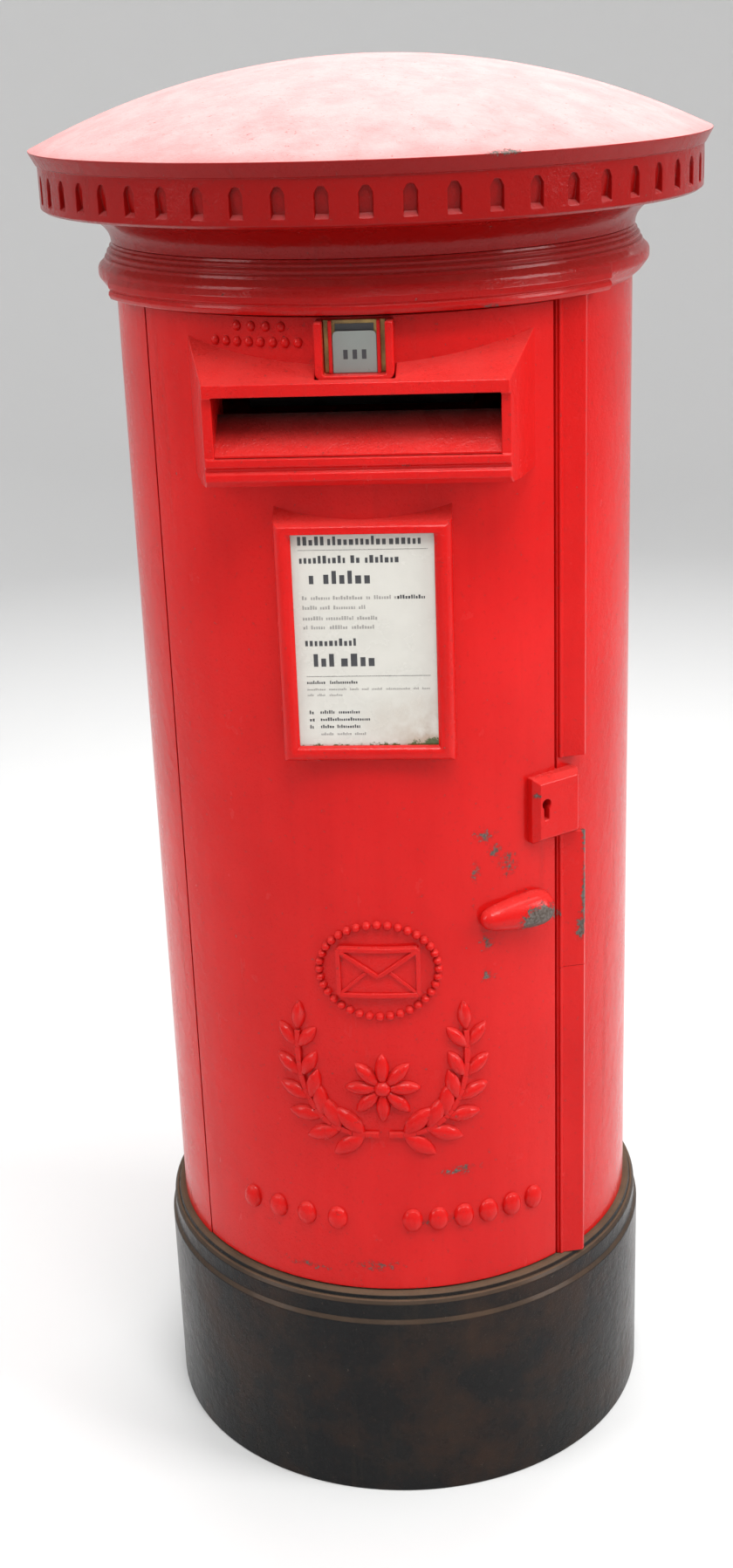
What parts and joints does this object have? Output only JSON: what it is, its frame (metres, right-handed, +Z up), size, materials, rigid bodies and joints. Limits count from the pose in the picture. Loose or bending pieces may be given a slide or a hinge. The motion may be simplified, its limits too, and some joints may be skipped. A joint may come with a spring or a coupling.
{
  "type": "pillar mailbox",
  "caption": "Free-standing round cast-iron pillar mailbox with domed cap, hooded posting slot, hinged locking door, notice frame and black plinth.",
  "frame": {"origin": "middle of the plinth's foot, on the ground", "axes": "+Z up, -Y towards the front with the door and posting slot, +X to the right of someone facing the front"},
  "size_m": [0.642, 0.642, 1.4343],
  "materials": {
    "red_paint": "gloss",
    "black_paint": "gloss",
    "steel": "satin",
    "zinc": "matte",
    "brass": "satin",
    "white_enamel": "gloss",
    "grey_enamel": "gloss"
  },
  "bodies": {
    "casing": {"plinth_ring": "black_paint", "carcass": "red_paint", "rib_insert": "red_paint", "cap": "red_paint", "head_stop": "red_paint", "mail_floor": "zinc", "upper_hinge_bracket": "red_paint", "upper_hinge_pin": "steel", "lower_hinge_pin": "steel", "thrust_washer": "brass", "bolt_keeper": "red_paint", "letter_cage": "zinc", "gate_guide_left": "zinc", "gate_guide_right": "zinc", "cap_bolt_1": "steel", "cap_bolt_2": "steel", "cap_bolt_3": "steel", "cap_bolt_4": "steel", "plinth_bolt_1": "steel", "plinth_bolt_2": "steel", "plinth_bolt_3": "steel", "plinth_bolt_4": "steel", "bracket_bolt_1": "steel", "bracket_bolt_2": "steel", "keeper_screw_1": "steel", "keeper_screw_2": "steel"},
    "gate": {"cage_gate": "zinc"},
    "door_leaf": {"door": "red_paint", "aperture_surround": "red_paint", "baffle_plate": "red_paint", "deflector_hood": "zinc", "deflector_screw_1": "steel", "deflector_screw_2": "steel", "notice_frame": "red_paint", "notice_plate": "white_enamel", "notice_tray": "zinc", "button_screw_left": "brass", "button_screw_right": "brass", "tablet_bracket": "red_paint", "tablet_slide": "brass", "lock_block": "red_paint", "lock_case": "steel", "lock_cover": "steel", "lock_screw_1": "steel", "lock_screw_2": "steel", "lock_screw_3": "steel", "lock_screw_4": "steel", "door_pull": "red_paint", "pull_screw_1": "steel", "pull_screw_2": "steel", "upper_hinge_lug": "red_paint", "lower_hinge_lug": "red_paint", "upper_hinge_bush": "brass", "lower_hinge_bush": "brass"},
    "thrower": {"bolt_thrower": "brass"},
    "bolt": {"lock_bolt": "brass"},
    "tablet": {"day_tablet": "grey_enamel"},
    "button_left": {"turn_button_left": "brass"},
    "button_right": {"turn_button_right": "brass"}
  },
  "joints": [
    {"name": "door_hinge", "type": "hinge", "parent": "casing", "child": "door_leaf", "pos_m": [-0.15282, -0.15826, 0.24], "axis": [0, 0, -1], "range_deg": [0, 95]},
    {"name": "gate_lift", "type": "slide", "parent": "casing", "child": "gate", "axis": [0, 0, 1], "range_m": [0, 0.3]},
    {"name": "key_turn", "type": "hinge", "parent": "door_leaf", "child": "thrower", "pos_m": [0.13695, -0.17217, 0.766], "axis": [0.6225, -0.7826, 0], "range_deg": [0, 90]},
    {"name": "bolt_slide", "type": "slide", "parent": "door_leaf", "child": "bolt", "axis": [0.7826, 0.6225, 0], "range_m": [0, 0.0161]},
    {"name": "tablet_lift", "type": "slide", "parent": "door_leaf", "child": "tablet", "axis": [0, 0, 1], "range_m": [0, 0.012]},
    {"name": "button_left_turn", "type": "hinge", "parent": "door_leaf", "child": "button_left", "pos_m": [-0.08, -0.21658, 0.94], "axis": [0, -1, 0], "range_deg": [0, 90]},
    {"name": "button_right_turn", "type": "hinge", "parent": "door_leaf", "child": "button_right", "pos_m": [0.08, -0.21658, 0.94], "axis": [0, 1, 0], "range_deg": [0, 90]}
  ],
  "couplings": [
    {"joint": "bolt_slide", "follows": "key_turn", "m_per_rad": 0.010185}
  ]
}
